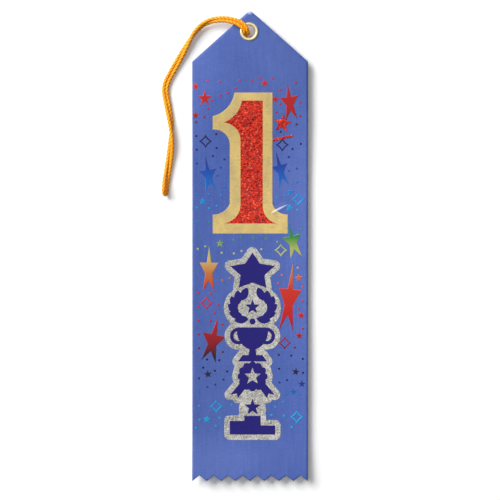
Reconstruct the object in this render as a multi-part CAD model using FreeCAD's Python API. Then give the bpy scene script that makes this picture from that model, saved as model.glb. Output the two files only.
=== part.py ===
"""Award ribbon: a satin strip with a folded peak and a pinked hem, an eyelet, a knotted cord and foils.

It lies on its back, face up: X across the ribbon, Y towards the peak, Z up. Millimetres.
The origin is under the middle of the ribbon, on the surface that it lies on.
"""

import FreeCAD, Part

import math
import os

# Driving dimensions
WIDTH = 50.8  # two-inch ribbon
LENGTH = 206.4  # from the hem's points to the peak
PEAK_DROP = 22.3  # from the peak down to the shoulders
PEAK_FLAT = 0.5  # the blunt tip that the two folds leave
TOOTH_COUNT = 8  # quarter-inch pinking
TOOTH_DEPTH = 2.5
SATIN = 0.25  # thickness of one layer
GLUE = 0.05

# Hanging loop
CORD_DIAMETER = 1.3
KNOT_HEIGHT = 2.6
KNOT_CENTRE = (-2.9, 93.8)
KNOT_RADIUS = 3.0
KNOT_ROUNDING = 1.0
KNOT_TAIL = 5.0
TAIL_ANGLES = (-70, -112)  # in plan, from the knot's centre

# Eyelet, centred EYELET_DROP below the peak
EYELET_X = -0.4
EYELET_DROP = 8.9
BORE_RADIUS = 2.75
BARREL_WALL = 0.3
FLANGE_RADIUS = 4.05
FLANGE_HEIGHT = 0.55
WASHER_RADIUS = 4.3
WASHER_HEIGHT = 0.25
FLARE_RADIUS = 3.6
FLARE_HEIGHT = 0.25
KNOT_CLEARANCE = 0.2
FIT_GAP = 0.05  # between the barrel and what it passes through

# The strip rises in an S from the surface onto the knot
RISE_START = 25.0
RISE_END = 77.0

# Stamped layers, measured up from the face of the satin
BASE_FOIL = (0.0, 0.06)
TOP_FOIL = (0.06, 0.12)
OVER_BOTH = (0.0, 0.12)
SILVER_MARGIN = 2.4

TOP = LENGTH / 2
SHOULDER = TOP - PEAK_DROP
HALF = WIDTH / 2
EYELET = FreeCAD.Vector(EYELET_X, TOP - EYELET_DROP, 0)
FLARE_BASE = KNOT_HEIGHT + KNOT_CLEARANCE
WASHER_BASE = FLARE_BASE + FLARE_HEIGHT
FLAP_BASE = WASHER_BASE + WASHER_HEIGHT
RISE = FLAP_BASE + SATIN + GLUE  # underside of the raised face layer
FACE = RISE + SATIN  # top of the raised face layer
RISE_RADIUS = ((RISE_END - RISE_START) ** 2 + RISE**2) / (4 * RISE)
UP = FreeCAD.Vector(0, 0, 1)

# The cord's route: out of the knot, up through the eyelet, round the loop and back into the knot
ROUTE = [
    (-2.25, 93.7, 2.6), (-2.25, 93.7, 4.3), (-2.75, 94.9, 5.3), (-4.25, 96.65, 5.3), (-7.4, 98.1, 5.0),
    (-12.6, 99.1, 4.9), (-18.9, 98.4, 3.1), (-24.0, 94.5, 1.1), (-29.1, 87.4, 0.7), (-34.3, 78.4, 0.65),
    (-38.5, 70.6, 0.65), (-37.1, 62.6, 1.2), (-35.1, 53.4, 2.2), (-33.6, 45.0, 2.15), (-34.8, 36.4, 0.9),
    (-36.1, 29.2, 0.65), (-36.35, 25.4, 0.68), (-36.3, 22.9, 0.7), (-37.25, 22.1, 1.78),
    (-38.15, 22.9, 2.85), (-38.1, 25.6, 2.5), (-37.9, 29.6, 1.35), (-36.6, 36.6, 0.65), (-35.4, 45.0, 0.65),
    (-34.2, 54.0, 0.65), (-35.5, 62.2, 0.65), (-36.9, 70.2, 0.65), (-32.8, 77.5, 0.75), (-28.2, 86.0, 2.3),
    (-24.6, 94.8, 2.8), (-18.6, 99.9, 4.0), (-11.2, 100.75, 4.95), (-5.0, 99.3, 5.05), (-2.1, 97.7, 5.35),
    (-0.95, 95.4, 5.35), (-0.8, 93.75, 4.3), (-0.8, 93.75, 2.6),
]  # fmt: skip
ARC_SHARE = 0.45  # of the shorter run beside each corner

# Stamped decoration: (x, y, half width, height above the centre, depth below it, lean in degrees)
LARGE_STARS = [
    (-19.9, 65.0, 3.4, 3.9, 3.7, 0),
    (17.4, 63.0, 4.4, 8.5, 9.4, 7),
    (-18.4, 31.0, 4.0, 8.8, 8.6, 9),
    (13.4, 33.2, 3.8, 8.6, 8.8, 13),
    (18.8, 1.9, 4.4, 8.5, 8.9, 13),
    (-18.1, -10.8, 4.4, 11.3, 11.5, -1),
    (17.2, -24.0, 5.2, 16.8, 16.4, -6),
    (-16.5, -42.2, 5.4, 10.8, 10.8, -12),
]
SMALL_STARS = [
    (-24.0, 70.4), (-24.0, 57.6), (6.4, 71.5), (11.0, 64.6), (-20.8, 19.8), (17.7, 23.8),
    (17.4, 16.9), (-13.2, 1.2), (21.5, -14.0), (22.4, -30.4), (21.6, -39.4), (-18.6, -56.4),
    (20.1, -55.3), (22.8, -60.6), (19.0, -64.2), (-19.0, -76.3),
]  # fmt: skip
SMALL_STAR_RADIUS = 1.85
SPARKLES = [
    (-19.6, 46.2), (14.2, 44.6), (21.2, 20.6), (13.6, -1.8),
    (-19.2, -25.0), (15.2, -42.6), (-14.8, -70.6), (20.6, -75.2),
]  # fmt: skip
SPARKLE_RADIUS = 2.9
SPARKLE_HOLLOW = 2.0
DOT_RADIUS = 0.48
DOT_TRIES = 520
DOT_STEPS = (0.6180340, 0.7548777)  # irrational shares, which spread the tries evenly
DOT_SPACING = 3.3
DOT_CLEARANCE = 0.9
DOT_TOP, DOT_BOTTOM = 74.0, -80.0
EDGE_CLEARANCE = 1.6

# Rank mark: the numeral, and a star over a stroke beside it
MARK_STAR = (14.2, 54.0, 4.3)
MARK_STROKE = [(9.9, 47.2), (18.6, 49.0), (18.8, 48.1), (10.1, 46.0)]

# The column of emblems and the heights of their centres
EMBLEM_X = 1.1
EMBLEM_Y = {"star": -11.4, "laurel": -27.2, "cup": -43.2, "rosette": -59.3, "podium": -75.6}
LAUREL_WIDE, LAUREL_TALL = 7.4, 5.4  # half sizes of the oval that the stems follow


def vec(x, y, z=0.0):
    return FreeCAD.Vector(x, y, z)


def flat(edges):
    """A flat face inside a closed run of edges, facing up."""
    face = Part.Face(Part.Wire(edges))
    return face if face.normalAt(0, 0).z > 0 else Part.Face(Part.Wire(edges).reversed())


def outlined(*runs):
    """A flat face from runs of points: two points are a straight edge, and three are an arc."""
    edges = []
    for run in runs:
        points = [vec(*p) for p in run]
        edge = Part.LineSegment(*points) if len(points) == 2 else Part.Arc(*points)
        edges.append(edge.toShape())
    return flat(edges)


def polygon(points):
    """A flat face from its corners."""
    return outlined(*zip(points, points[1:] + points[:1]))


def disc(x, y, radius):
    return flat([Part.makeCircle(radius, vec(x, y))])


def mirrored(face):
    """The other half of something symmetrical about the Y axis, still facing up."""
    return flat(face.mirror(vec(0, 0), vec(1, 0)).OuterWire.Edges)


def merged(faces):
    """Flat faces joined into as few as they make, with no edges left inside them."""
    first, rest = faces[0], faces[1:]
    return first.multiFuse(rest).removeSplitter().Faces if rest else [first]


def turned(shape, x, y, degrees):
    """A copy of a shape drawn about the origin, turned and put at x, y."""
    copy = shape.copy()
    copy.rotate(vec(0, 0), UP, degrees)
    copy.translate(vec(x, y))
    return copy


def prism(face, low, high):
    """A flat face as a solid from one height to another."""
    copy = face.copy()
    copy.translate(UP * low)
    return copy.extrude(UP * (high - low))


def rise_line(offset):
    """The strip's S-shaped section, moved up off its underside: line, arc, arc, line."""
    slope = math.asin((RISE_END - RISE_START) / 2 / RISE_RADIUS)

    def lower(angle):
        radius = RISE_RADIUS - offset
        return vec(0, RISE_START + radius * math.sin(angle), RISE_RADIUS - radius * math.cos(angle))

    def upper(angle):
        radius = RISE_RADIUS + offset
        return vec(0, RISE_END - radius * math.sin(angle), RISE - RISE_RADIUS + radius * math.cos(angle))

    return [
        Part.LineSegment(vec(0, -TOP - 1, offset), lower(0)).toShape(),
        Part.Arc(lower(0), lower(slope / 2), lower(slope)).toShape(),
        Part.Arc(upper(slope), upper(slope / 2), upper(0)).toShape(),
        Part.LineSegment(upper(0), vec(0, TOP + 1, RISE + offset)).toShape(),
    ]


def layer(low, high):
    """A sheet that follows the strip between two heights above its underside, wider than the strip."""
    below, above = rise_line(low), rise_line(high)
    ends = [
        Part.LineSegment(vec(0, y, z + low), vec(0, y, z + high)).toShape()
        for y, z in ((-TOP - 1, 0), (TOP + 1, RISE))
    ]
    wire = Part.Wire(Part.__sortEdges__(below + above + ends))
    sheet = Part.Face(wire).extrude(vec(WIDTH + 4, 0, 0))
    sheet.translate(vec(-HALF - 2, 0, 0))
    return sheet


def stamped(faces, levels):
    """Flat faces laid onto the strip's face as foil between two levels above it."""
    low, high = (SATIN + level for level in levels)
    solids = []
    curved = None
    for face in faces:
        box = face.BoundBox
        if box.YMax < RISE_START:
            solids.append(prism(face, low, high))
        elif box.YMin > RISE_END:
            solids.append(prism(face, RISE + low, RISE + high))
        else:
            curved = curved or layer(low, high)
            solids.extend(curved.common(prism(face, -1, RISE + 2)).Solids)
    return Part.makeCompound(solids)


def outline():
    """The strip's plan: pinked hem, straight sides, shoulders and blunt peak."""
    pitch = WIDTH / TOOTH_COUNT
    points = []
    for tooth in range(TOOTH_COUNT):
        x = -HALF + tooth * pitch
        points += [(x, -TOP), (x + pitch / 2, -TOP + TOOTH_DEPTH)]
    points += [(HALF, -TOP), (HALF, SHOULDER), (PEAK_FLAT / 2, TOP)]
    points += [(-PEAK_FLAT / 2, TOP), (-HALF, SHOULDER)]
    return polygon(points)


def flap_corners():
    """The left corner of the strip folded behind its face: shoulder, peak, and the turned-in corner."""
    shoulder, peak, corner = vec(-HALF, SHOULDER), vec(-PEAK_FLAT / 2, TOP), vec(-HALF, TOP)
    fold = (shoulder - peak).normalize()
    out = corner - peak
    return shoulder, peak, peak + fold * (2 * fold.dot(out)) - out


def flaps():
    """Both folded corners as flat faces, left and right."""
    shoulder, peak, corner = flap_corners()
    left = polygon([tuple(shoulder), tuple(peak), tuple(corner)])
    return [left, mirrored(left)]


def fold_band():
    """The strip of plan just inside both slanting edges, where the satin turns back."""
    peak_plan = polygon([(-HALF, SHOULDER), (HALF, SHOULDER), (PEAK_FLAT / 2, TOP), (-PEAK_FLAT / 2, TOP)])
    inner = peak_plan.copy()
    inner.translate(vec(0, -SATIN / math.sin(math.atan2(HALF, PEAK_DROP))))
    return [flap.common(peak_plan.cut(inner)) for flap in flaps()]


def eyelet_hole():
    radius = BORE_RADIUS + BARREL_WALL + FIT_GAP
    return Part.makeCylinder(radius, RISE + 3, vec(EYELET.x, EYELET.y, 1))


def ribbon_strip():
    """Face layer, and the two corners folded behind it, as one piece of satin."""
    face = layer(0, SATIN).common(prism(outline(), -1, RISE + 2))
    folded = [prism(flap, FLAP_BASE, FLAP_BASE + SATIN) for flap in flaps()]
    turns = [prism(band, FLAP_BASE + SATIN, RISE) for band in fold_band()]
    return face.multiFuse(folded + turns).cut(eyelet_hole())


def fold_glue():
    """The adhesive films, left and right, that hold the folded corners to the back of the face."""
    films = []
    for flap, band in zip(flaps(), fold_band()):
        films.append(prism(flap.cut(band), FLAP_BASE + SATIN, RISE).cut(eyelet_hole()))
    return films


def ring(points):
    """A turned ring about the eyelet's axis, from its section as (radius, height)."""
    section = Part.Face(Part.makePolygon([vec(r, 0, z) for r, z in points + points[:1]]))
    turned_ring = section.revolve(vec(0, 0), UP, 360)
    turned_ring.translate(EYELET)
    return turned_ring


def eyelet_barrel():
    """The flanged half: a barrel with a rolled rim on the face, flared out under the washer."""
    inner, outer = BORE_RADIUS, BORE_RADIUS + BARREL_WALL
    top = FACE + FLANGE_HEIGHT
    crown = (inner + FLANGE_RADIUS) / 2
    section = [
        (inner, FLARE_BASE + 0.1), (inner + 0.1, FLARE_BASE), (FLARE_RADIUS, FLARE_BASE + 0.05),
        (FLARE_RADIUS, WASHER_BASE), (outer, WASHER_BASE), (outer, FACE), (FLANGE_RADIUS, FACE),
        (FLANGE_RADIUS, FACE + 0.2), (FLANGE_RADIUS - 0.2, top - 0.12), (crown + 0.15, top),
        (crown - 0.15, top), (inner + 0.1, top - 0.15), (inner, top - 0.35),
    ]  # fmt: skip
    return ring(section)


def eyelet_washer():
    inner = BORE_RADIUS + BARREL_WALL + FIT_GAP
    return ring([
        (inner, WASHER_BASE), (WASHER_RADIUS - 0.1, WASHER_BASE), (WASHER_RADIUS, WASHER_BASE + 0.1),
        (WASHER_RADIUS, FLAP_BASE), (inner, FLAP_BASE),
    ])  # fmt: skip


def cord_path():
    """Straight runs joined by tangent arcs, each as large as its two runs allow, and the arcs' radii."""
    points = [vec(*p) for p in ROUTE]
    edges, radii, start = [], [], points[0]
    for before, corner, after in zip(points, points[1:], points[2:]):
        back, on = before - corner, after - corner
        turn = math.pi - back.getAngle(on)
        cut = ARC_SHARE * min(back.Length, on.Length)
        radii.append(cut / math.tan(turn / 2))
        a, b = corner + back.normalize() * cut, corner + on.normalize() * cut
        middle = corner + (a + b - corner * 2).normalize() * radii[-1] * (1 / math.cos(turn / 2) - 1)
        edges += [Part.LineSegment(start, a).toShape(), Part.Arc(a, middle, b).toShape()]
        start = b
    edges.append(Part.LineSegment(start, points[-1]).toShape())
    return Part.Wire(edges), radii


def hanging_cord():
    """The plain tube of the cord's loop, both ends on top of the knot."""
    path, radii = cord_path()
    section = Part.Wire(Part.makeCircle(CORD_DIAMETER / 2, vec(*ROUTE[0]), UP))
    tube = path.makePipeShell([section], True, False)
    expected = math.pi * CORD_DIAMETER**2 / 4 * path.Length
    print("cord length", round(path.Length, 1), "volume share", round(tube.Volume / expected, 4))
    print("cord radii in diameters", [round(r / CORD_DIAMETER, 1) for r in radii])
    return tube


def cord_knot():
    """The overhand knot behind the eyelet, as a rounded puck with the cord's two cut ends."""
    centre = vec(*KNOT_CENTRE)
    puck = Part.makeCylinder(KNOT_RADIUS, KNOT_HEIGHT, centre)
    puck = puck.makeFillet(KNOT_ROUNDING, [e for e in puck.Edges if len(e.Vertexes) == 1])
    radius = CORD_DIAMETER / 2
    tails = []
    for angle in TAIL_ANGLES:
        along = vec(math.cos(math.radians(angle)), math.sin(math.radians(angle)))
        start = centre + along * (KNOT_RADIUS - KNOT_ROUNDING - 1) + UP * radius
        tails.append(Part.makeCylinder(radius, KNOT_TAIL + KNOT_ROUNDING, start, along))
    return puck.multiFuse(tails)


def star(radius, inner_share=0.42):
    """A regular star with one point up."""
    corners = []
    for k in range(10):
        reach = radius if k % 2 == 0 else radius * inner_share
        angle = math.pi / 2 + k * math.pi / 5
        corners.append((reach * math.cos(angle), reach * math.sin(angle)))
    return polygon(corners)


def spiky_star(x, y, half_width, above, below, lean):
    """A five-pointed star stretched upwards and downwards, then leant."""
    corners = []
    for k in range(10):
        reach = 1.0 if k % 2 == 0 else 0.38
        angle = math.pi / 2 + k * math.pi / 5
        across, along = reach * math.cos(angle), reach * math.sin(angle)
        stretch = above if k in (0, 1, 9) else below
        corners.append((across * half_width, along * stretch))
    return turned(polygon(corners), x, y, lean)


def sparkle():
    """A four-pointed star with slightly hollow sides, as an outline."""

    def hollow(reach):
        tips = [vec(reach * math.cos(a), reach * math.sin(a)) for a in (k * math.pi / 2 for k in range(4))]
        pairs = zip(tips, tips[1:] + tips[:1])
        return flat([Part.Arc(a, (a + b) * 0.42, b).toShape() for a, b in pairs])

    return hollow(SPARKLE_RADIUS).cut(hollow(SPARKLE_HOLLOW)).Faces[0]


def numeral():
    """A figure one with a curved flag and a bracketed foot."""
    return outlined(
        [(5.6, 64.0), (5.6, 18.0)],
        [(5.6, 18.0), (7.2, 12.9), (11.6, 10.0)],
        [(11.6, 10.0), (-11.6, 10.0)],
        [(-11.6, 10.0), (-6.2, 12.9), (-4.2, 18.0)],
        [(-4.2, 18.0), (-4.2, 46.5)],
        [(-4.2, 46.5), (-6.4, 52.0), (-11.8, 54.4)],
        [(-11.8, 54.4), (-6.4, 58.0), (-3.6, 64.0)],
        [(-3.6, 64.0), (5.6, 64.0)],
    )


def numeral_border():
    """The wider figure one that frames the numeral, with a slab foot."""
    return outlined(
        [(9.9, 67.5), (9.9, 18.6)],
        [(9.9, 18.6), (11.9, 15.6), (16.6, 13.9)],
        [(16.6, 13.9), (16.6, 5.5)],
        [(16.6, 5.5), (-16.4, 5.5)],
        [(-16.4, 5.5), (-16.4, 13.9)],
        [(-16.4, 13.9), (-11.2, 15.6), (-8.9, 18.6)],
        [(-8.9, 18.6), (-8.9, 44.6)],
        [(-8.9, 44.6), (-11.0, 49.4), (-16.4, 51.2)],
        [(-16.4, 51.2), (-16.4, 57.2)],
        [(-16.4, 57.2), (-10.2, 60.6), (-6.8, 67.5)],
        [(-6.8, 67.5), (9.9, 67.5)],
    )


def emblem_star():
    """A bold wide star; its ground is the same star."""
    bold = []
    for k in range(10):
        reach = 8.6 if k % 2 == 0 else 4.6
        angle = math.pi / 2 + k * math.pi / 5
        bold.append((1.2 * reach * math.cos(angle), reach * math.sin(angle)))
    return [polygon(bold)], [polygon(bold)]


def emblem_laurel():
    """Two sprays of leaves that curve up from a tie, round a small star; the ground is an oval."""
    leaf = outlined([(-1.2, 0), (1.6, -1.7), (5.0, 0)], [(5.0, 0), (1.6, 1.7), (-1.2, 0)])
    leaves = []
    for k in range(6):
        angle = math.radians(-66 + 24 * k)
        x, y = LAUREL_WIDE * math.cos(angle), LAUREL_TALL * math.sin(angle)
        leaves.append(turned(leaf, x, y, math.degrees(angle) + 60))
    spray = merged(leaves)
    tie = disc(0, -LAUREL_TALL - 0.6, 1.3)
    whole = merged(spray + [mirrored(face) for face in spray] + [tie])
    ends = [disc(x, 0, 7.0) for x in (-3.2, 3.2)]
    return whole + [turned(star(3.4), 0, 0.4, 0)], ends


def emblem_cup():
    """A two-handled cup on a stem and a foot; the ground fills its handles."""
    bowl = outlined(
        [(-6.6, 7.4), (-5.2, 0.6), (0, -2.6)],
        [(0, -2.6), (5.2, 0.6), (6.6, 7.4)],
        [(6.6, 7.4), (-6.6, 7.4)],
    )
    stem = polygon([(-1.8, -5.6), (1.8, -5.6), (1.2, -1.2), (-1.2, -1.2)])
    foot = polygon([(-6.4, -7.6), (6.4, -7.6), (4.4, -4.8), (-4.4, -4.8)])
    grips = [disc(x, 3.6, 3.7) for x in (-6.2, 6.2)]
    handles = [grip.cut(disc(grip.CenterOfMass.x, 3.6, 2.2)).Faces[0] for grip in grips]
    return merged([bowl, stem, foot] + handles), [bowl, stem, foot] + grips


def emblem_rosette():
    """A scalloped rosette with a star cut in it, over two notched tails."""
    scallops = []
    for k in range(12):
        angle = k * math.pi / 6
        scallops.append(disc(5.0 * math.cos(angle), 1.9 + 5.0 * math.sin(angle), 1.6))
    tail = polygon([(0.4, 0), (4.6, 0), (9.9, -6.2), (7.0, -5.6), (6.4, -7.6)])
    whole = merged([disc(0, 1.9, 5.4), tail, mirrored(tail)] + scallops)
    return whole[0].cut(turned(star(3.9), 0, 1.9, 0)).Faces, whole + [disc(0, 1.9, 6.4)]


def emblem_podium():
    """A winners' stand of three steps under a small star; the ground takes in both."""
    steps = polygon([
        (-10.0, -7.4), (10.0, -7.4), (10.0, -3.4), (3.6, -3.4),
        (3.6, 0.8), (-3.6, 0.8), (-3.6, -1.4), (-10.0, -1.4),
    ])  # fmt: skip
    small = turned(star(3.8), 0, 4.6, 0)
    return [steps, small], [steps, disc(0, 3.8, 3.6)]


EMBLEMS = {
    "star": emblem_star,
    "laurel": emblem_laurel,
    "cup": emblem_cup,
    "rosette": emblem_rosette,
    "podium": emblem_podium,
}


def silver_plate(grounds):
    """The silver ground: every emblem's own ground grown by the margin, joined, with no holes."""
    plates = [ground.makeOffset2D(SILVER_MARGIN, 0) for ground in grounds]
    whole = merged([flat(plate.OuterWire.Edges) for plate in plates])
    return [flat(face.OuterWire.Edges) for face in whole]


def dots(obstacles):
    """Round dots spread evenly over the face, clear of every other foil and of the edges."""
    placed = []
    for k in range(DOT_TRIES):
        along, across = ((k * step) % 1 for step in DOT_STEPS)
        y = DOT_BOTTOM + (DOT_TOP - DOT_BOTTOM) * along
        x = (2 * across - 1) * (HALF - EDGE_CLEARANCE)
        if any(math.hypot(x - a, y - b) < DOT_SPACING for a, b in placed):
            continue
        spot = Part.Vertex(vec(x, y))
        if all(spot.distToShape(o)[0] > DOT_RADIUS + DOT_CLEARANCE for o in obstacles):
            placed.append((x, y))
    return [disc(x, y, DOT_RADIUS) for x, y in placed]


def trimmed(face, others):
    """What is left of a face on the strip, beside others that lie over it."""
    face = face.common(outline())
    for other in others:
        face = face.cut(other)
    return face.Faces


def foils():
    """Every stamped layer as a named node."""
    red, gold = numeral(), numeral_border()
    emblems, grounds = {}, []
    for name, draw in EMBLEMS.items():
        faces, ground = draw()
        emblems[name] = [turned(face, EMBLEM_X, EMBLEM_Y[name], 0) for face in faces]
        grounds += [turned(face, EMBLEM_X, EMBLEM_Y[name], 0) for face in ground]
    silver = silver_plate(grounds)
    mark = [turned(star(MARK_STAR[2]), MARK_STAR[0], MARK_STAR[1], -8), polygon(MARK_STROKE)]
    large = [spiky_star(*numbers) for numbers in LARGE_STARS]
    leans = [7 * (k % 3 - 1) for k in range(len(SMALL_STARS))]
    small = [turned(star(SMALL_STAR_RADIUS), x, y, lean) for (x, y), lean in zip(SMALL_STARS, leans)]
    glints = [turned(sparkle(), x, y, 0) for x, y in SPARKLES]
    over = [gold] + silver + mark

    nodes = {
        "gold_foil_border": stamped([gold], BASE_FOIL),
        "red_glitter_numeral": stamped([red], TOP_FOIL),
        "silver_foil_plate": stamped(silver, BASE_FOIL),
    }
    nodes["red_glitter_mark"] = stamped(mark, OVER_BOTH).cut(nodes["gold_foil_border"])
    for name, faces in emblems.items():
        nodes[f"navy_foil_{name}"] = stamped(faces, TOP_FOIL)
    for number, face in enumerate(large, 1):
        nodes[f"rainbow_foil_star_{number}"] = stamped(trimmed(face, over), BASE_FOIL)
    for name, faces in (("small_stars", small), ("sparkles", glints)):
        pieces = [piece for face in faces for piece in trimmed(face, over)]
        nodes[f"rainbow_foil_{name}"] = stamped(pieces, BASE_FOIL)
    nodes["rainbow_foil_dots"] = stamped(dots(over + large + small + glints), BASE_FOIL)
    return nodes


def main():
    os.makedirs("parts", exist_ok=True)
    left_glue, right_glue = fold_glue()
    nodes = {
        "ribbon_strip": ribbon_strip(),
        "fold_glue_left": left_glue,
        "fold_glue_right": right_glue,
        "eyelet_barrel": eyelet_barrel(),
        "eyelet_washer": eyelet_washer(),
        "hanging_cord": hanging_cord(),
        "cord_knot": cord_knot(),
        **foils(),
    }
    for name, shape in nodes.items():
        print(name, "valid", shape.isValid(), "solids", len(shape.Solids), "volume", round(shape.Volume, 2))
        shape.exportStep(f"parts/{name}.step")


main()
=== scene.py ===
"""The looks of the award ribbon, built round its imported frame.

Metres, Z up, with the printed face upwards and the peak towards +Y."""

import math
import random

import bmesh
import bpy
import numpy as np
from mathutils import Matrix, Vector


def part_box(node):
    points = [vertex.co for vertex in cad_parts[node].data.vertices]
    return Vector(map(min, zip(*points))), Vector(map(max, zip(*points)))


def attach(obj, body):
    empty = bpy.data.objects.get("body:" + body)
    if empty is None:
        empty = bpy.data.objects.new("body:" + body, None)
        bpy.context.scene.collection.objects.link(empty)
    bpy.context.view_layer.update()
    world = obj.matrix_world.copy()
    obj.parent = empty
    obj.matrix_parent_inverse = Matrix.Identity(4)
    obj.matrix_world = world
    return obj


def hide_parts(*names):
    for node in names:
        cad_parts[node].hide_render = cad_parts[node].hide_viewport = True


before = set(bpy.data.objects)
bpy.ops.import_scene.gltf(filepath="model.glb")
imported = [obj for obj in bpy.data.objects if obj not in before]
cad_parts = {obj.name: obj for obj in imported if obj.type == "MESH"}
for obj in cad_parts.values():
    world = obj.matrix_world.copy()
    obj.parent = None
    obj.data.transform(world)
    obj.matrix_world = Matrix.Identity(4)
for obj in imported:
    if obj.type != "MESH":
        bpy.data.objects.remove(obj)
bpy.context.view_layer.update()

MM = 0.001

# The strip, from its box and from the pieces that it lies on
strip_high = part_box("ribbon_strip")[1]
HALF = strip_high.x
TOP = strip_high.y
SATIN = 0.25 * MM
RISE = strip_high.z - SATIN
RISE_START = 25.0 * MM
RISE_END = 77.0 * MM
PEAK_DROP = 22.3 * MM
PEAK_HALF = 0.25 * MM
SHOULDER = TOP - PEAK_DROP
TOOTH_COUNT = 8
TOOTH_DEPTH = 2.5 * MM
FOLD_RADIUS = 0.15 * MM
ROLL_DROP = 0.3 * MM  # how far the cloth bends down beside a fold, at the peak
ROLL_LEAST = 0.25  # the share of that drop along the rest of the fold
ROLL_LENGTH = 7 * MM  # how far below the peak the full drop starts to fade
ROLL_WIDTH = 0.9 * MM

# How the cloth stands off its plain shape
RIGHT_CURL = 2.3 * MM
LEFT_CURL = 0.7 * MM
CURL_POWER = 2.5
DROOP_SHARE = 0.8  # of the rise, by which the long edges droop beside the knot
HEM_CURL = 4.4 * MM
HEM_SLANT = 0.2  # the share by which the hem curls less at the right and more at the left
HEM_CURL_START = 80 * MM  # below the middle of the ribbon, as is its end
HEM_CURL_END = 112 * MM
RIPPLE_FADE_START = 50 * MM  # above the middle, as is its end
RIPPLE_FADE_END = 74 * MM
# Each ripple's height, its length over two pi, its slant across the strip and its phase
RIPPLES = ((0.06 * MM, 8.5 * MM, 1.5, 0.0), (0.08 * MM, 21 * MM, -2.2, 1.0))
CREASE_START = Vector((9.1 * MM, 14.6 * MM))
CREASE_END = Vector((16.8 * MM, 18.5 * MM))
CREASE_HEIGHT = 0.2 * MM
CREASE_REACH = 1.4 * MM  # to each side of its line

# The eyelet
washer_low, washer_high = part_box("eyelet_washer")
EYELET = (washer_low + washer_high) / 2
HOLE_RADIUS = 3.35 * MM
BORE_RADIUS = 2.75 * MM
BARREL_WALL = 0.3 * MM
FLARE_RADIUS = 3.6 * MM
FLARE_PETALS = 8
PETAL_SPLIT = 0.16 * MM

# The cord and its knot
CORD_DIAMETER = 1.3 * MM
PLY_TURN = 5.2 * MM
CROWN_SHARE = 0.66  # of the diameter, from the cord's centre to the crown of a soft ply
PLY_OFFSET = 0.15  # of the diameter, from the cord's centre to a ply's own
KNOT_SQUEEZE = 0.88  # how far the tight knot presses the cord together
KNOT_CENTRE = (-2.9 * MM, 93.8 * MM)
KNOT_RADIUS = 3.0 * MM
TAIL_ANGLES = (-70, -112)
TAIL_START = 1.2 * MM
TAIL_LENGTH = 5.8 * MM
CORD_STEP = 0.3 * MM  # between the rings of a rope's mesh

# The cord's route, in metres: out of the knot, up through the eyelet, round the loop and back
ROUTE = [
    (-0.0020, 0.0936, 0.0019), (-0.0020, 0.0934, 0.0042), (-0.0025, 0.0946, 0.0055),
    (-0.00405, 0.0966, 0.0057), (-0.0074, 0.0983, 0.0051), (-0.0126, 0.0993, 0.0041),
    (-0.0189, 0.0984, 0.0020), (-0.0240, 0.0945, 0.00098), (-0.0291, 0.0874, 0.0009),
    (-0.0343, 0.0784, 0.0009), (-0.0385, 0.0706, 0.0009), (-0.0371, 0.0626, 0.0012),
    (-0.0351, 0.0534, 0.00245), (-0.0339, 0.0450, 0.0023), (-0.03485, 0.0364, 0.00098),
    (-0.0361, 0.0292, 0.0009), (-0.0366, 0.0258, 0.0009), (-0.0366, 0.0233, 0.0009),
    (-0.0373, 0.0224, 0.0020), (-0.03795, 0.0233, 0.0032), (-0.03795, 0.0258, 0.0031),
    (-0.0376, 0.0296, 0.0020), (-0.0364, 0.0366, 0.0011), (-0.0353, 0.0450, 0.0009),
    (-0.0342, 0.0540, 0.0009), (-0.0356, 0.0622, 0.0009), (-0.0371, 0.0702, 0.0009),
    (-0.0330, 0.0776, 0.00095), (-0.0283, 0.0861, 0.0017), (-0.0246, 0.0948, 0.0029),
    (-0.0187, 0.0997, 0.0028), (-0.0112, 0.1005, 0.0045), (-0.0051, 0.0991, 0.0052),
    (-0.0022, 0.0972, 0.0057), (-0.0011, 0.0948, 0.0055), (-0.0009, 0.0934, 0.0042),
    (-0.0009, 0.0936, 0.0019),
]  # fmt: skip


# Stage: camera, lights and floor


def link(thing):
    bpy.context.scene.collection.objects.link(thing)


def make_camera():
    """A long lens straight above, at the distance where the view is as wide as wanted."""
    view_width = 220.4 * MM
    view_middle_y = -1.7 * MM
    data = bpy.data.cameras.new("camera")
    data.lens = 200
    camera = bpy.data.objects.new("camera", data)
    camera.location = (0.0, view_middle_y, view_width * data.lens / data.sensor_width)
    link(camera)
    bpy.context.scene.camera = camera


def make_area_light(name, place, size, power):
    """A square softbox that faces the middle of the ribbon."""
    data = bpy.data.lights.new(name, "AREA")
    data.shape = "SQUARE"
    data.size = size
    data.energy = power
    light = bpy.data.objects.new(name, data)
    light.location = place
    light.rotation_euler = (-Vector(place)).to_track_quat("-Z", "Y").to_euler()
    link(light)


def make_stage():
    """A plain white floor under even light, with the key from the upper left."""
    bm = bmesh.new()
    bmesh.ops.create_grid(bm, x_segments=1, y_segments=1, size=3)
    floor = new_object("floor", bm)
    floor.data.materials.append(floor_material())
    make_area_light("key", place=(-1.20, 1.02, 1.10), size=1.3, power=62.5)
    make_area_light("overhead", place=(0.0, 0.0, 1.7), size=1.0, power=7.5)
    world = bpy.data.worlds.new("world")
    world.use_nodes = True
    background = world.node_tree.nodes["Background"]
    background.inputs["Color"].default_value = (1, 1, 1, 1)
    background.inputs["Strength"].default_value = 0.12
    bpy.context.scene.world = world
    bpy.context.scene.view_settings.view_transform = "Standard"


# Mesh helpers


def new_object(name, bm, smooth=False):
    """A linked object from a bmesh, which is freed."""
    mesh = bpy.data.meshes.new(name)
    bm.to_mesh(mesh)
    bm.free()
    for polygon in mesh.polygons:
        polygon.use_smooth = smooth
    piece = bpy.data.objects.new(name, mesh)
    link(piece)
    return piece


def baked_mesh(thing):
    """The mesh of an object as its modifiers or its curve settings leave it."""
    return bpy.data.meshes.new_from_object(thing.evaluated_get(bpy.context.evaluated_depsgraph_get()))


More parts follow.
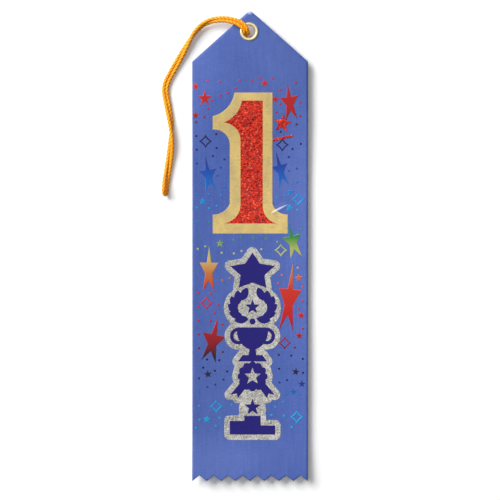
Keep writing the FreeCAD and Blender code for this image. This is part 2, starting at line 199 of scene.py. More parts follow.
def dress(piece, body, slot, *materials):
    """Materials and body for a finished piece. The slot is not used."""
    for material in materials:
        piece.data.materials.append(material)
    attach(piece, body)
    return piece


def smoothstep(low, high, value):
    """0 below low, 1 above high and a smooth S between."""
    share = min(1.0, max(0.0, (value - low) / (high - low)))
    return share * share * (3 - 2 * share)


# The strip's surface


def rise(y):
    """Height of the strip's underside along its length: flat, an S of two arcs, and flat again."""
    if y <= RISE_START:
        return 0.0
    if y >= RISE_END:
        return RISE
    radius = ((RISE_END - RISE_START) ** 2 + RISE**2) / (4 * RISE)
    middle = (RISE_START + RISE_END) / 2
    if y < middle:
        return radius - math.sqrt(radius**2 - (y - RISE_START) ** 2)
    return RISE - radius + math.sqrt(radius**2 - (RISE_END - y) ** 2)


def lift(x, y):
    """How far the cloth stands off its plain shape, down as well as up.

    The long edges curl and the shoulders droop beside the knot. The hem curls too, ripples cross the
    strip, and one crease runs out from the numeral's foot."""
    across = x / HALF
    edge_height = RIGHT_CURL if across > 0 else LEFT_CURL
    hem_share = smoothstep(HEM_CURL_START, HEM_CURL_END, -y)
    curl = (edge_height * (1 - hem_share) - DROOP_SHARE * rise(y)) * abs(across) ** CURL_POWER
    hem_curl = HEM_CURL * hem_share * (1 - HEM_SLANT * across)
    ripple = 0.0
    for height, length, slant, phase in RIPPLES:
        ripple += height * (1 + math.sin(y / length + slant * across + phase))
    settled = 1 - smoothstep(RIPPLE_FADE_START, RIPPLE_FADE_END, y)
    return curl + hem_curl + settled * ripple + crease(x, y)


def crease(x, y):
    """The height of the one sharp crease, which fades out at both ends."""
    line = CREASE_END - CREASE_START
    place = Vector((x, y)) - CREASE_START
    share = place.dot(line) / line.length_squared
    aside = place.cross(line) / line.length
    if not 0 < share < 1:
        return 0.0
    return CREASE_HEIGHT * math.sin(math.pi * share) * max(0.0, 1 - abs(aside) / CREASE_REACH)


def surface(x, y, level):
    """A point on the strip, at a height above its underside."""
    return Vector((x, y, rise(y) + lift(x, y) + level))


# Materials


class Graph:
    """A material's nodes, added one at a time and wired by socket name."""

    def __init__(self, name):
        self.material = bpy.data.materials.new(name)
        self.material.use_nodes = True
        self.tree = self.material.node_tree
        self.shader = self.tree.nodes["Principled BSDF"]

    def fill(self, node, inputs):
        """Links each socket given, and sets each plain value."""
        for key, value in inputs.items():
            socket = node.inputs[key]
            if isinstance(value, bpy.types.NodeSocket):
                self.tree.links.new(value, socket)
            else:
                socket.default_value = value

    def add(self, kind, inputs=None, **settings):
        """A new node with its inputs filled."""
        node = self.tree.nodes.new("ShaderNode" + kind)
        for key, value in settings.items():
            setattr(node, key, value)
        self.fill(node, inputs or {})
        return node

    def principled(self, **inputs):
        """Inputs of the main shader, with _ for each space in their names."""
        self.fill(self.shader, {key.replace("_", " "): value for key, value in inputs.items()})

    def coordinates(self, kind="Object", scale=(1, 1, 1), turn=0.0):
        """A coordinate in millimetres, times a scale on each axis and turned about Z."""
        source = self.add("TexCoord").outputs[kind]
        mapping = self.add("Mapping", {"Vector": source})
        mapping.inputs["Scale"].default_value = [1000 * s for s in scale]
        mapping.inputs["Rotation"].default_value = (0, 0, turn)
        return mapping.outputs["Vector"]

    def noise(self, vector, size, detail=2.0, roughness=0.5):
        """Noise with features of about size millimetres."""
        inputs = {"Vector": vector, "Scale": 1 / size, "Detail": detail, "Roughness": roughness}
        return self.add("TexNoise", inputs).outputs["Fac"]

    def math(self, operation, first, second=0.0):
        return self.add("Math", {0: first, 1: second}, operation=operation).outputs["Value"]

    def weighted(self, first, *others):
        """The sum of (value, weight) pairs."""
        total = self.math("MULTIPLY", *first)
        for pair in others:
            total = self.math("ADD", total, self.math("MULTIPLY", *pair))
        return total

    def ramp(self, factor, stops, mode="LINEAR"):
        """Colour by factor from (place, colour) stops."""
        node = self.add("ValToRGB", {"Fac": factor})
        node.color_ramp.interpolation = mode
        elements = node.color_ramp.elements
        while len(elements) < len(stops):
            elements.new(0.5)
        for element, (place, colour) in zip(elements, stops):
            element.position = place
            element.color = (*linear(colour), 1)
        return node.outputs["Color"]

    def mix(self, factor, first, second, mode="MIX"):
        """One colour into another; a plain colour is given as three display values."""
        node = self.add("Mix", data_type="RGBA", blend_type=mode)
        sockets = (node.inputs["Factor"], node.inputs[6], node.inputs[7])
        for socket, value in zip(sockets, (factor, first, second)):
            if isinstance(value, bpy.types.NodeSocket):
                self.tree.links.new(value, socket)
            else:
                socket.default_value = value if isinstance(value, float) else (*linear(value), 1)
        return node.outputs[2]

    def crease_highlight(self):
        """A mask for the painted highlight along the top of the crease, which thins out at both ends and is
        weaker at the far one.
        """
        width = 2.4  # in millimetres, of which a quarter is reached to each side at the middle
        narrowest = 0.0001
        far_loss = 0.7
        line = CREASE_END - CREASE_START
        parts = self.add("SeparateXYZ", {"Vector": self.coordinates()})
        dx = self.math("SUBTRACT", parts.outputs["X"], CREASE_START.x / MM)
        dy = self.math("SUBTRACT", parts.outputs["Y"], CREASE_START.y / MM)
        ux, uy = line.normalized()
        along = self.math("ADD", self.math("MULTIPLY", dx, ux), self.math("MULTIPLY", dy, uy))
        aside = self.math("SUBTRACT", self.math("MULTIPLY", dx, uy), self.math("MULTIPLY", dy, ux))
        share = self.math("DIVIDE", along, line.length / MM)
        taper = self.math("MULTIPLY", share, self.math("SUBTRACT", 1.0, share))
        reach = self.math("MAXIMUM", self.math("MULTIPLY", taper, width), narrowest)
        left = self.math("SUBTRACT", 1.0, self.math("DIVIDE", self.math("ABSOLUTE", aside), reach))
        fading = self.math("SUBTRACT", 1.0, self.math("MULTIPLY", share, far_loss))
        return self.math("MULTIPLY", self.math("MAXIMUM", left, 0.0), fading)

    def bump(self, height, distance, strength=1.0, normal=None):
        """A normal from a height of 0 to 1 over a distance in metres."""
        inputs = {"Height": height, "Distance": distance, "Strength": strength}
        if normal is not None:
            inputs["Normal"] = normal
        return self.add("Bump", inputs).outputs["Normal"]


def linear(colour):
    """Display values of 0 to 255 as linear ones."""
    shares = [c / 255 for c in colour]
    return [s / 12.92 if s <= 0.04045 else ((s + 0.055) / 1.055) ** 2.4 for s in shares]


def floor_material():
    g = Graph("floor")
    spot = g.noise(g.coordinates(), 400.0)
    g.principled(Base_Color=g.mix(spot, (249, 249, 249), (251, 251, 251)), Roughness=0.9)
    g.shader.inputs["Specular IOR Level"].default_value = 0.1
    return g.material


def satin_material():
    """Satin: warp floats along the strip, crossed by weft, with slow streaks of tone.

    A fine line runs inside each long edge, and a painted highlight makes the cloth pale at the very tip of
    the peak."""
    g = Graph("satin_face")
    flat = g.coordinates("UV")
    colour, light = (50, 72, 142), (72, 98, 172)
    streaks = g.noise(g.coordinates("UV", (1.0, 0.06, 1.0)), 0.9, 3.0)
    patches = g.noise(flat, 14.0, 2.0)
    wave = {"Vector": flat, "Detail": 1.0}
    warp = g.add("TexWave", {**wave, "Scale": 1.9, "Distortion": 0.6}, bands_direction="X").outputs["Fac"]
    weft = g.add("TexWave", {**wave, "Scale": 1.1, "Distortion": 1.5}, bands_direction="Y").outputs["Fac"]
    slubs = g.noise(g.coordinates("UV", (0.25, 1.4, 1.0)), 0.8, 3.0)
    mottle = g.noise(flat, 0.9, 2.0)
    unevenness = ((streaks, 0.35), (patches, 0.25), (slubs, 0.25), (mottle, 0.25))
    tone = g.weighted(*unevenness, (weft, 0.10), (warp, 0.06))
    middle, contrast, brightness = 0.62, 2.0, 0.52
    tone = g.math("ADD", g.math("MULTIPLY", g.math("SUBTRACT", tone, middle), contrast), brightness)
    line_inset, line_half_width = 1.35, 0.16
    across = g.add("SeparateXYZ", {"Vector": flat}).outputs["X"]
    from_edge = g.math("SUBTRACT", HALF / MM, g.math("ABSOLUTE", across))
    line = g.math("COMPARE", from_edge, line_inset)
    line.node.inputs[2].default_value = line_half_width
    base = g.mix(tone, colour, light)
    base = g.mix(g.math("MULTIPLY", line, 0.35), base, light)
    # Painted highlight along the top of the crease.
    base = g.mix(g.crease_highlight(), base, (246, 246, 255))
    # Painted highlight: the cloth is painted paler towards the tip of the peak.
    from_tip = g.add("VectorMath", {0: flat, 1: (0, TOP / MM, 0)}, operation="DISTANCE").outputs["Value"]
    fading = {"Value": from_tip, "From Min": 0.3, "From Max": 1.7, "To Min": 0.7, "To Max": 0.0}
    tip_highlight = g.add("MapRange", fading).outputs["Result"]
    base = g.mix(tip_highlight, base, (206, 220, 244))
    threads = g.math("ADD", warp, g.math("MULTIPLY", weft, 0.7))
    normal = g.bump(threads, 0.03 * MM, 0.5)
    normal = g.bump(line, 0.05 * MM, 0.6, normal)
    normal = g.bump(g.noise(flat, 5.0, 2.0), 0.35 * MM, 0.35, normal)
    g.principled(Base_Color=base, Roughness=0.4, Normal=normal)
    g.principled(Sheen_Weight=0.12, Sheen_Roughness=0.4, Anisotropic=0.5)
    g.principled(Specular_IOR_Level=0.35)
    return g.material


def gold_material():
    """Worn gold foil: fine grain all over, short scuffs across it and greyer patches."""
    g = Graph("gold_foil")
    place = g.coordinates()
    patches = g.noise(g.coordinates("Object", (1.0, 0.55, 1.0)), 5.0, 4.0, 0.6)
    rubbed = g.ramp(patches, [(0.46, (0, 0, 0)), (0.72, (255, 255, 255))])
    grain = g.noise(place, 0.28, 2.0)
    speckle = g.ramp(grain, [(0.35, (255, 255, 255)), (0.62, (0, 0, 0))])
    scuffs = g.noise(g.coordinates("Object", (0.3, 1.3, 1.0), 0.3), 1.1, 5.0, 0.7)
    marks = g.ramp(scuffs, [(0.54, (0, 0, 0)), (0.68, (255, 255, 255))])
    colour = g.mix(g.math("MULTIPLY", rubbed, 0.55), (203, 177, 108), (156, 143, 110))
    colour = g.mix(g.math("MULTIPLY", speckle, 0.4), colour, (140, 118, 70))
    colour = g.mix(g.math("MULTIPLY", marks, 0.35), colour, (120, 106, 80))
    # Painted highlight along the top of the crease.
    colour = g.mix(g.crease_highlight(), colour, (255, 255, 250))
    normal = g.bump(grain, 0.05 * MM, 0.5)
    normal = g.bump(g.noise(place, 2.2, 3.0), 0.15 * MM, 0.35, normal)
    rough = g.math("ADD", 0.34, g.math("MULTIPLY", patches, 0.2))
    g.principled(Base_Color=colour, Metallic=0.45, Roughness=rough, Normal=normal)
    return g.material


def glitter_material(name, stops, flake, rough, metal, tilt, painted_shine):
    """Flakes of foil: each has its own colour from the stops, and its own tilt.

    Random patches are painted brighter, as a painted highlight, by the share given for it."""
    g = Graph(name)
    place = g.coordinates()
    cells = g.add("TexVoronoi", {"Vector": place, "Scale": 1 / flake, "Randomness": 1.0})
    channels = g.add("SeparateColor", {"Color": cells.outputs["Color"]})
    colour = g.ramp(channels.outputs["Red"], stops)
    lean = g.add("VectorMath", {0: cells.outputs["Color"], 1: (0.5, 0.5, 0.5)}, operation="SUBTRACT")
    lean = g.add("VectorMath", {0: lean.outputs["Vector"], "Scale": tilt}, operation="SCALE")
    facing = g.add("NewGeometry").outputs["Normal"]
    normal = g.add("VectorMath", {0: facing, 1: lean.outputs["Vector"]}, operation="ADD")
    normal = g.add("VectorMath", {0: normal.outputs["Vector"]}, operation="NORMALIZE").outputs["Vector"]
    # Painted highlight: patches mixed toward the brightest flake colour.
    patches = g.ramp(g.noise(place, 6.0, 3.0), [(0.5, (0, 0, 0)), (0.75, (255, 255, 255))])
    colour = g.mix(g.math("MULTIPLY", patches, painted_shine), colour, stops[-1][1])
    g.principled(Base_Color=colour, Metallic=metal, Roughness=rough, Normal=normal)
    g.principled(Specular_IOR_Level=0.25)
    return g.material


def navy_material():
    """Dark blue foil with a fine grain."""
    g = Graph("navy_foil")
    place = g.coordinates()
    grain = g.noise(place, 0.4, 2.0)
    patches = g.noise(place, 4.0, 2.0)
    colour = g.mix(g.weighted((grain, 0.55), (patches, 0.35)), (14, 6, 84), (34, 24, 124))
    normal = g.bump(grain, 0.04 * MM, 0.5)
    g.principled(Base_Color=colour, Metallic=0.1, Roughness=0.5, Normal=normal)
    g.principled(Specular_IOR_Level=0.2)
    return g.material


# Colour down the strip: height in millimetres, display colour
RAINBOW = [
    (-80, (0, 170, 220)), (-70, (0, 156, 218)), (-62, (30, 66, 160)), (-57, (34, 28, 66)),
    (-49, (34, 14, 34)), (-42, (150, 18, 30)), (-30, (198, 26, 28)), (-19, (208, 50, 32)),
    (-12, (206, 118, 56)), (-6, (214, 184, 110)), (-1, (170, 184, 92)), (4, (52, 138, 70)),
    (10, (20, 140, 120)), (17, (0, 156, 220)), (26, (10, 112, 205)), (34, (24, 74, 176)),
    (40, (34, 30, 120)), (48, (34, 20, 40)), (54, (90, 22, 36)), (59, (176, 28, 32)), (74, (206, 36, 38)),
]  # fmt: skip


def rainbow_material(name, share, toward):
    """Foil whose colour runs through the spectrum down the strip, moved a share of the way to another."""
    g = Graph(name)
    place = g.coordinates()
    low, high = RAINBOW[0][0], RAINBOW[-1][0]
    height = g.add("SeparateXYZ", {"Vector": place}).outputs["Y"]
    down = g.add("MapRange", {"Value": height, "From Min": low, "From Max": high}).outputs["Result"]
    colour = g.ramp(down, [((y - low) / (high - low), c) for y, c in RAINBOW])
    colour = g.mix(share, colour, toward)
    grain = g.noise(place, 0.45, 2.0)
    colour = g.mix(g.math("MULTIPLY", grain, 0.4), colour, (20, 20, 40), "MULTIPLY")
    normal = g.bump(g.noise(place, 0.8, 3.0), 0.06 * MM, 0.5)
    g.principled(Base_Color=colour, Metallic=0.2, Roughness=0.4, Normal=normal)
    g.principled(Specular_IOR_Level=0.2)
    return g.material


def cord_material():
    """Rayon plies: fibres along the twist, with a painted highlight on the crowns and painted shade in the
    grooves, in flecks.
    """
    g = Graph("cord_fibre")
    along = g.add("TexCoord").outputs["UV"]
    parts = g.add("SeparateXYZ", {"Vector": along})
    # Painted shade and highlight: each ply is painted darker towards its grooves and brighter on its crown.
    crown = g.math("SUBTRACT", 1.0, g.math("ABSOLUTE", g.math("SUBTRACT", parts.outputs["X"], 0.5)))
    stops = [(0.5, (206, 104, 0)), (0.62, (236, 144, 0)), (0.8, (252, 172, 10)), (1.0, (255, 200, 44))]
    stretched = g.add("Mapping", {"Vector": along, "Scale": (14, 0.9, 1)}).outputs["Vector"]
    fibres = g.noise(stretched, 1.0)
    flecks = g.noise(g.coordinates(), 0.6, 3.0, 0.6)
    dark = g.ramp(flecks, [(0.5, (0, 0, 0)), (0.6, (255, 255, 255))])
    colour = g.mix(g.math("MULTIPLY", fibres, 0.3), g.ramp(crown, stops), (222, 122, 0))
    colour = g.mix(g.math("MULTIPLY", dark, 0.7), colour, (206, 98, 0))
    g.principled(Base_Color=colour, Roughness=0.5, Normal=g.bump(fibres, 0.06 * MM, 0.8))
    g.principled(Sheen_Weight=0.08, Sheen_Roughness=0.35, Specular_IOR_Level=0.25)
    return g.material


def metal_material():
    """Pale brass plating, rubbed and slightly dull."""
    g = Graph("eyelet_metal")
    place = g.coordinates()
    wear = g.noise(place, 1.2, 3.0)
    colour = g.mix(wear, (214, 198, 136), (234, 222, 178))
    normal = g.bump(g.noise(place, 0.25, 2.0), 0.02 * MM, 0.4)
    rough = g.math("ADD", 0.32, g.math("MULTIPLY", wear, 0.2))
    g.principled(Base_Color=colour, Metallic=0.5, Roughness=rough, Normal=normal)
    return g.material


def glue_material():
    g = Graph("glue_film")
    colour = g.mix(g.noise(g.coordinates(), 2.0), (196, 190, 170), (214, 208, 190))
    g.principled(Base_Color=colour, Roughness=0.35)
    return g.material


# The satin strip


def hem(x):
    """The pinked edge: y of the cut at x."""
    pitch = 2 * HALF / TOOTH_COUNT
    share = ((x + HALF) / pitch) % 1
    return -TOP + TOOTH_DEPTH * (1 - abs(2 * share - 1))


def folded(x, y, side):
    """Where a point of the flat cloth at x, y lies once the corner on that side is folded behind."""
    mid = SATIN / 2
    peak = Vector((side * PEAK_HALF, TOP))
    out = Vector((side * PEAK_DROP, HALF - PEAK_HALF)).normalized()
    beyond = (Vector((x, y)) - peak).dot(out)
    arc = math.pi * FOLD_RADIUS
    from_fold = max(-beyond, beyond - arc, 0.0)
    near_peak = smoothstep(TOP - ROLL_LENGTH, TOP, y)
    roll = ROLL_DROP * (ROLL_LEAST + (1 - ROLL_LEAST) * near_peak)
    level = mid - roll * max(0.0, 1 - from_fold / ROLL_WIDTH) ** 2
    if beyond <= 0:
        return surface(x, y, level)
    edge = Vector((x, y)) - out * beyond
    if beyond < arc:
        turn = beyond / FOLD_RADIUS
        place = edge + out * (FOLD_RADIUS * math.sin(turn))
        return surface(place.x, place.y, level - FOLD_RADIUS * (1 - math.cos(turn)))
    place = edge - out * (beyond - arc)
    return surface(place.x, place.y, level - 2 * FOLD_RADIUS)


def strip_rows():
    """Rows of the flat cloth's points as (x, y, side), side being the fold that a point may pass.

    Also says how many points a row of the peak has beyond the fold, at each end."""
    face_columns = 8 * TOOTH_COUNT
    arc_steps, flap_columns = 6, 26
    hem_steps, peak_steps = 8, 46
    hem_band, row_pitch = 6 * MM, 0.8 * MM
    hem_top = -TOP + hem_band
    shares = [2 * k / face_columns - 1 for k in range(face_columns + 1)]
    rows = []
    for k in range(hem_steps + 1):
        row = []
        for s in shares:
            cut = hem(s * HALF)
            row.append((s * HALF, cut + (hem_top - cut) * k / hem_steps, 0))
        rows.append(row)
    length = SHOULDER - hem_top
    steps = round(length / row_pitch)
    for k in range(1, steps + 1):
        rows.append([(s * HALF, hem_top + length * k / steps, 0) for s in shares])
    slant = (HALF - PEAK_HALF) / PEAK_DROP
    out_x = PEAK_DROP / math.hypot(PEAK_DROP, HALF - PEAK_HALF)
    for k in range(1, peak_steps + 1):
        y = SHOULDER + PEAK_DROP * k / peak_steps
        edge = PEAK_HALF + (TOP - y) * slant
        arc_end = min(HALF, edge + math.pi * FOLD_RADIUS / out_x)
        outer = [edge + (arc_end - edge) * n / arc_steps for n in range(1, arc_steps + 1)]
        outer += [arc_end + (HALF - arc_end) * n / flap_columns for n in range(1, flap_columns + 1)]
        row = [(-x, y, -1) for x in reversed(outer)]
        row += [(s * edge, y, 1 if s > 0 else -1) for s in shares]
        row += [(x, y, 1) for x in outer]
        rows.append(row)
    return rows, arc_steps + flap_columns


def make_strip():
    """The cloth as one sheet: face, folds and flaps, with the eyelet's hole, then its thickness."""
    rows, extra = strip_rows()
    bm = bmesh.new()
    uv = bm.loops.layers.uv.new("cloth")
    flat = {}
    grid = []
    for row in rows:
        line = []
        for x, y, side in row:
            vertex = bm.verts.new(folded(x, y, side) if side else surface(x, y, SATIN / 2))
            flat[vertex] = (x, y)
            line.append(vertex)
        grid.append(line)
    for lower, upper in zip(grid, grid[1:]):
        if len(lower) < len(upper):
            lower = [lower[0]] * extra + lower + [lower[-1]] * extra
        for a, b, c, d in zip(lower, lower[1:], upper[1:], upper):
            corners = list(dict.fromkeys((a, b, c, d)))
            if len(corners) > 2:
                face = bm.faces.new(corners)
                for loop in face.loops:
                    loop[uv].uv = flat[loop.vert]
    cut_hole(bm)
    strip = new_object("satin_strip", bm, smooth=True)
    solid = strip.modifiers.new("thickness", "SOLIDIFY")
    solid.thickness = SATIN
    solid.offset = 0
    baked = baked_mesh(strip)
    strip.modifiers.clear()
    strip.data = baked
    return strip


def cut_hole(bm):
    """Opens the eyelet's hole and draws its edge to a circle."""
    centre = EYELET.to_2d()
    ragged = 1.2 * MM
    inside = [v for v in bm.verts if (v.co.to_2d() - centre).length < HOLE_RADIUS]
    bmesh.ops.delete(bm, geom=inside, context="VERTS")
    for vertex in bm.verts:
        away = vertex.co.to_2d() - centre
        if vertex.is_boundary and away.length < HOLE_RADIUS + ragged:
            vertex.co.x, vertex.co.y = centre + away.normalized() * HOLE_RADIUS


# Foils


def cut_by_grid(bm, low, high, pitch):
    """Cuts every face along lines of constant x and of constant y, a pitch apart."""
    for axis in (0, 1):
        for k in range(math.ceil(low[axis] / pitch), math.ceil(high[axis] / pitch)):
            place, normal = Vector((0, 0, 0)), Vector((0, 0, 0))
            place[axis], normal[axis] = k * pitch, 1
            geometry = bm.verts[:] + bm.edges[:] + bm.faces[:]
            bmesh.ops.bisect_plane(bm, geom=geometry, plane_co=place, plane_no=normal, dist=0.001 * MM)


def roughen(bm, layer, zone, jitter):
    """Moves each point inside a zone up or down at random, and cuts the zone into flat flakes."""
    inner = [v for v in bm.verts if all(f[layer] == zone for f in v.link_faces)]
    for vertex in inner:
        vertex.co.z += random.uniform(-jitter, jitter)
    bmesh.ops.triangulate(bm, faces=[f for f in bm.faces if f[layer] == zone])


def foil_mesh(node, steps, pitch, jitter):
    """The node's own solids with a stepped edge, cut by a grid so that they follow the cloth.

    A step is an inset and a rise of the top, in metres. A face's zone is the last step that it is inside.
    A pitch of 0 leaves small foils uncut, and a jitter of 0 leaves them smooth."""
    bm = bmesh.new()
    bm.from_mesh(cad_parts[node].data)
    bmesh.ops.remove_doubles(bm, verts=bm.verts, dist=0.002 * MM)
    bm.normal_update()
    layer = bm.faces.layers.int.new("zone")
    top = [f for f in bm.faces if f.normal.z > 0.5]
    for zone, (inset, up) in enumerate(steps, 1):
        bmesh.ops.inset_region(bm, faces=top, thickness=inset, depth=0, use_even_offset=False)
        for vertex in {v for f in top for v in f.verts}:
            vertex.co.z += up
        for face in top:
            face[layer] = zone
    if pitch:
        cut_by_grid(bm, *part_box(node), pitch)
    if jitter:
        roughen(bm, layer, len(steps), jitter)
    for vertex in bm.verts:
        vertex.co.z += lift(vertex.co.x, vertex.co.y)
    return bm


def make_foil(node, slot, material, steps, pitch=1.5 * MM, jitter=0.0, inner=None):
    """A foil piece that stands for its CAD node. Faces inside the first step take the inner material."""
    bm = foil_mesh(node, steps, pitch, jitter)
    layer = bm.faces.layers.int["zone"]
    for face in bm.faces:
        face.material_index = 1 if inner and face[layer] else 0
    piece = new_object(node + "_stamped", bm)
    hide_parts(node)
    materials = [material, inner] if inner else [material]
    dress(piece, "ribbon", slot, *materials)


def make_grained_foils():
    """The gold border, the red numeral and its mark, and the silver ground of the emblems."""
    gold_edge = [(0.12 * MM, 0.03 * MM)]
    glitter_edge = [(0.1 * MM, 0.03 * MM)]
    make_foil("gold_foil_border", "gold_foil", gold_material(), gold_edge)
    red = [
        (0.0, (84, 0, 2)), (0.3, (150, 10, 6)), (0.65, (206, 36, 14)), (0.9, (240, 66, 34)),
        (1.0, (255, 120, 84)),
    ]  # fmt: skip
    glitter = glitter_material("red_glitter", red, flake=0.55, rough=0.5, metal=0.1, tilt=0.5, painted_shine=0.04)
    for node in ("red_glitter_numeral", "red_glitter_mark"):
        make_foil(node, "red_glitter", glitter, glitter_edge, pitch=0.5 * MM, jitter=0.03 * MM)
    silver = [(0.0, (106, 104, 100)), (0.4, (150, 148, 142)), (0.8, (180, 179, 172)), (1.0, (222, 221, 214))]
    sanded = glitter_material("silver_foil", silver, flake=0.36, rough=0.38, metal=0.35, tilt=0.34, painted_shine=0.4)
    make_foil("silver_foil_plate", "silver_foil", sanded, glitter_edge, pitch=0.7 * MM, jitter=0.02 * MM)


def make_smooth_foils():
    """The dark blue emblems, and the rainbow stars, sparkles and dots."""
    emblem_edge = [(0.10 * MM, 0.03 * MM), (0.16 * MM, 0.03 * MM)]
    star_edge = [(0.26 * MM, 0.05 * MM), (0.12 * MM, 0.02 * MM)]
    small_star_edge = [(0.2 * MM, 0.04 * MM)]
    dot_edge = [(0.14 * MM, 0.04 * MM)]
    navy = navy_material()
    plain = rainbow_material("rainbow_foil", share=0.0, toward=(0, 0, 0))
    # The stars' rims take a copy of the foil painted paler, as a painted highlight; their tops take a darker
    # copy.
    rim_highlight = rainbow_material("rainbow_foil_rim_highlight", share=0.04, toward=(255, 255, 255))
    deep = rainbow_material("rainbow_foil_deep", share=0.14, toward=(10, 10, 16))
    for node in sorted(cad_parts):
        if node.startswith("navy_foil"):
            make_foil(node, "navy_foil", navy, emblem_edge)
        elif node.startswith("rainbow_foil_star"):
            make_foil(node, "rainbow_foil", rim_highlight, star_edge, inner=deep)
        elif node == "rainbow_foil_small_stars":
            make_foil(node, "rainbow_foil", rim_highlight, small_star_edge, pitch=0, inner=deep)
        elif node.startswith("rainbow_foil"):
            make_foil(node, "rainbow_foil", plain, dot_edge, pitch=0)


# Cord and knot


def nurbs_points(route):
    """Points along the smooth line that a route's points draw."""
    curve = bpy.data.curves.new("route", "CURVE")
    curve.dimensions = "3D"
    curve.resolution_u = 24
    spline = curve.splines.new("NURBS")
    spline.points.add(len(route) - 1)
    for point, place in zip(spline.points, route):
        point.co = (*place, 1)
    spline.order_u = 3
    spline.use_endpoint_u = True
    carrier = bpy.data.objects.new("route", curve)
    link(carrier)
    bpy.context.view_layer.update()
    points = np.array([v.co for v in baked_mesh(carrier).vertices], float)
    bpy.data.objects.remove(carrier)
    return points


def even_points(points, step):
    """The same line with evenly spaced points."""
    lengths = np.concatenate([[0], np.cumsum(np.linalg.norm(np.diff(points, axis=0), axis=1))])
    places = np.linspace(0, lengths[-1], max(2, round(lengths[-1] / step)))
    return np.stack([np.interp(places, lengths, points[:, k]) for k in range(3)], axis=1)


def rope(bm, points, diameter, uv):
    """A three-ply twisted cord along points: a ring of three lobes that turns as it goes."""
    lobes, per_lobe = 3, 8
    count = lobes * per_lobe
    offset = PLY_OFFSET * diameter
    ply = CROWN_SHARE * diameter - offset
    side = Vector((0, 0, 1))
    rings = []
    travelled = 0.0
    for k, place in enumerate(points):
        ahead = Vector(points[min(k + 1, len(points) - 1)] - points[max(k - 1, 0)]).normalized()
        side = (side - ahead * side.dot(ahead)).normalized()
        up = ahead.cross(side)
        travelled += np.linalg.norm(place - points[k - 1]) if k else 0.0
        ring = []
        for n in range(count):
            bend = 2 * math.pi / lobes * ((n % per_lobe) / per_lobe - 0.5)
            reach = offset * math.cos(bend) + math.sqrt(ply**2 - (offset * math.sin(bend)) ** 2)
            turn = 2 * math.pi * n / count + 2 * math.pi * travelled / PLY_TURN
            out = side * math.cos(turn) + up * math.sin(turn)
            ring.append(bm.verts.new(Vector(place) + out * reach))
        rings.append((ring, travelled / MM))
    for (lower, start), (upper, end) in zip(rings, rings[1:]):
        for n in range(count):
            after = (n + 1) % count
            left = (n % per_lobe) / per_lobe
            right = left + 1 / per_lobe
            face = bm.faces.new((lower[n], lower[after], upper[after], upper[n]))
            for loop, place in zip(face.loops, ((left, start), (right, start), (right, end), (left, end))):
                loop[uv].uv = place
    first, last = rings[0][0], rings[-1][0]
    bm.faces.new(first[::-1])
    bm.faces.new(last)


def make_cord(material):
    """The doubled cord, from the knot through the eyelet to its closed end and back."""
    points = even_points(nurbs_points(ROUTE), CORD_STEP)
    bm = bmesh.new()
    uv = bm.loops.layers.uv.new("ply")
    rope(bm, points, CORD_DIAMETER, uv)
    cord = new_object("twisted_cord", bm, smooth=True)
    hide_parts("hanging_cord")
    dress(cord, "cord_loop", "cord", material)
    return cord, points


def knot_line(height, wide, crown):
    """The overhand knot's closed line, for a cord round it to reach from the floor to a height."""
    steps = 72
    line = []
    for k in range(steps + 1):
        t = 2 * math.pi * k / steps
        x = (math.sin(t) + 2 * math.sin(2 * t)) * wide / 3
        y = (math.cos(t) - 2 * math.cos(2 * t)) * wide / 3
        z = height / 2 - math.sin(3 * t) * (height / 2 - crown)
        line.append((KNOT_CENTRE[0] + x, KNOT_CENTRE[1] + y, z))
    return np.array(line)


def make_knot(material):
    """An overhand knot behind the eyelet, with both cut ends."""
    low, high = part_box("cord_knot")
    diameter = KNOT_SQUEEZE * CORD_DIAMETER
    crown = CROWN_SHARE * diameter
    bm = bmesh.new()
    uv = bm.loops.layers.uv.new("ply")
    loop = knot_line(high.z - low.z, KNOT_RADIUS - crown, crown)
    rope(bm, even_points(loop, CORD_STEP), diameter, uv)
    for degrees in TAIL_ANGLES:
        angle = math.radians(degrees)
        along = Vector((math.cos(angle), math.sin(angle), 0))
        start = Vector((*KNOT_CENTRE, crown)) + along * TAIL_START
        tail = np.array([start, start + along * TAIL_LENGTH])
        rope(bm, even_points(tail, CORD_STEP), diameter, uv)
    knot = new_object("overhand_knot", bm, smooth=True)
    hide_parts("cord_knot")
    return dress(knot, "cord_loop", "cord", material)


# Eyelet


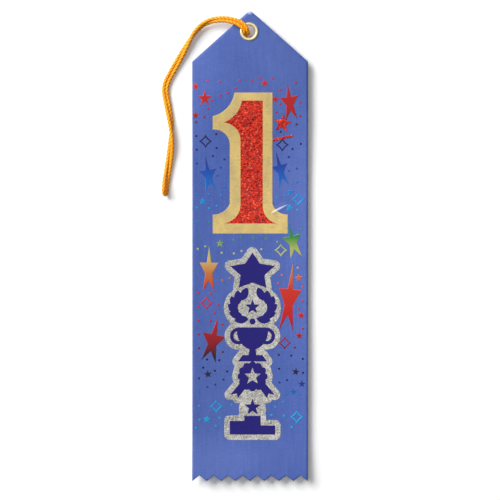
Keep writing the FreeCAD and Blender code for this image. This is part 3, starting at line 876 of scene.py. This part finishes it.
def eyelet_profile(low, high):
    """The barrel's section in three runs of (radius, z): rim and outside, flare, and lip of the bore."""
    face = strip_high.z
    rim_radius = (high.x - low.x) / 2
    middle = (BORE_RADIUS + rim_radius) / 2
    half_width = (rim_radius - BORE_RADIUS) / 2
    rim_steps = 12
    outside = []
    for k in range(rim_steps + 1):
        angle = math.pi * k / rim_steps
        z = face + (high.z - face) * math.sin(angle) ** 0.8
        outside.append((middle - half_width * math.cos(angle), z))
    outside += [(BORE_RADIUS + BARREL_WALL, face), (BORE_RADIUS + BARREL_WALL, washer_low.z)]
    flare = [
        (FLARE_RADIUS - 0.05 * MM, washer_low.z),
        (FLARE_RADIUS, low.z + 0.12 * MM),
        (FLARE_RADIUS - 0.3 * MM, low.z),
    ]
    lip = [(BORE_RADIUS + 0.12 * MM, low.z + 0.02 * MM), (BORE_RADIUS, low.z + 0.14 * MM)]
    return outside, flare, lip


def make_eyelet(metal):
    """The flanged barrel with a rolled rim in front, and its flare split into petals behind."""
    outside, flare, lip = eyelet_profile(*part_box("eyelet_barrel"))
    segments = 96
    bm = bmesh.new()
    rings = []
    for k in range(segments):
        angle = 2 * math.pi * k / segments
        split = PETAL_SPLIT * abs(math.sin(FLARE_PETALS / 2 * angle)) ** 8
        petals = [(radius - split, z) for radius, z in flare]
        ring = []
        for radius, z in outside + petals + lip:
            place = (EYELET.x + radius * math.cos(angle), EYELET.y + radius * math.sin(angle), z)
            ring.append(bm.verts.new(place))
        rings.append(ring)
    for k, ring in enumerate(rings):
        following = rings[(k + 1) % segments]
        for n in range(len(ring)):
            after = (n + 1) % len(ring)
            bm.faces.new((ring[n], ring[after], following[after], following[n]))
    bmesh.ops.recalc_face_normals(bm, faces=bm.faces)
    eyelet = new_object("eyelet_rolled", bm, smooth=True)
    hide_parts("eyelet_barrel")
    dress(eyelet, "ribbon", "eyelet_metal", metal)


def finish_washer(metal):
    """The CAD washer keeps its shape and takes the eyelet's metal."""
    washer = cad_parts["eyelet_washer"].data
    washer.materials.clear()
    washer.materials.append(metal)


def build():
    random.seed(7)
    make_camera()
    make_stage()
    fibre = cord_material()
    cord, path = make_cord(fibre)
    knot = make_knot(fibre)
    strip = make_strip()
    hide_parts("ribbon_strip")
    dress(strip, "ribbon", "satin", satin_material())
    metal = metal_material()
    make_eyelet(metal)
    finish_washer(metal)
    film = glue_material()
    for node in ("fold_glue_left", "fold_glue_right"):
        make_foil(node, "glue", film, steps=[])
    make_grained_foils()
    make_smooth_foils()


build()
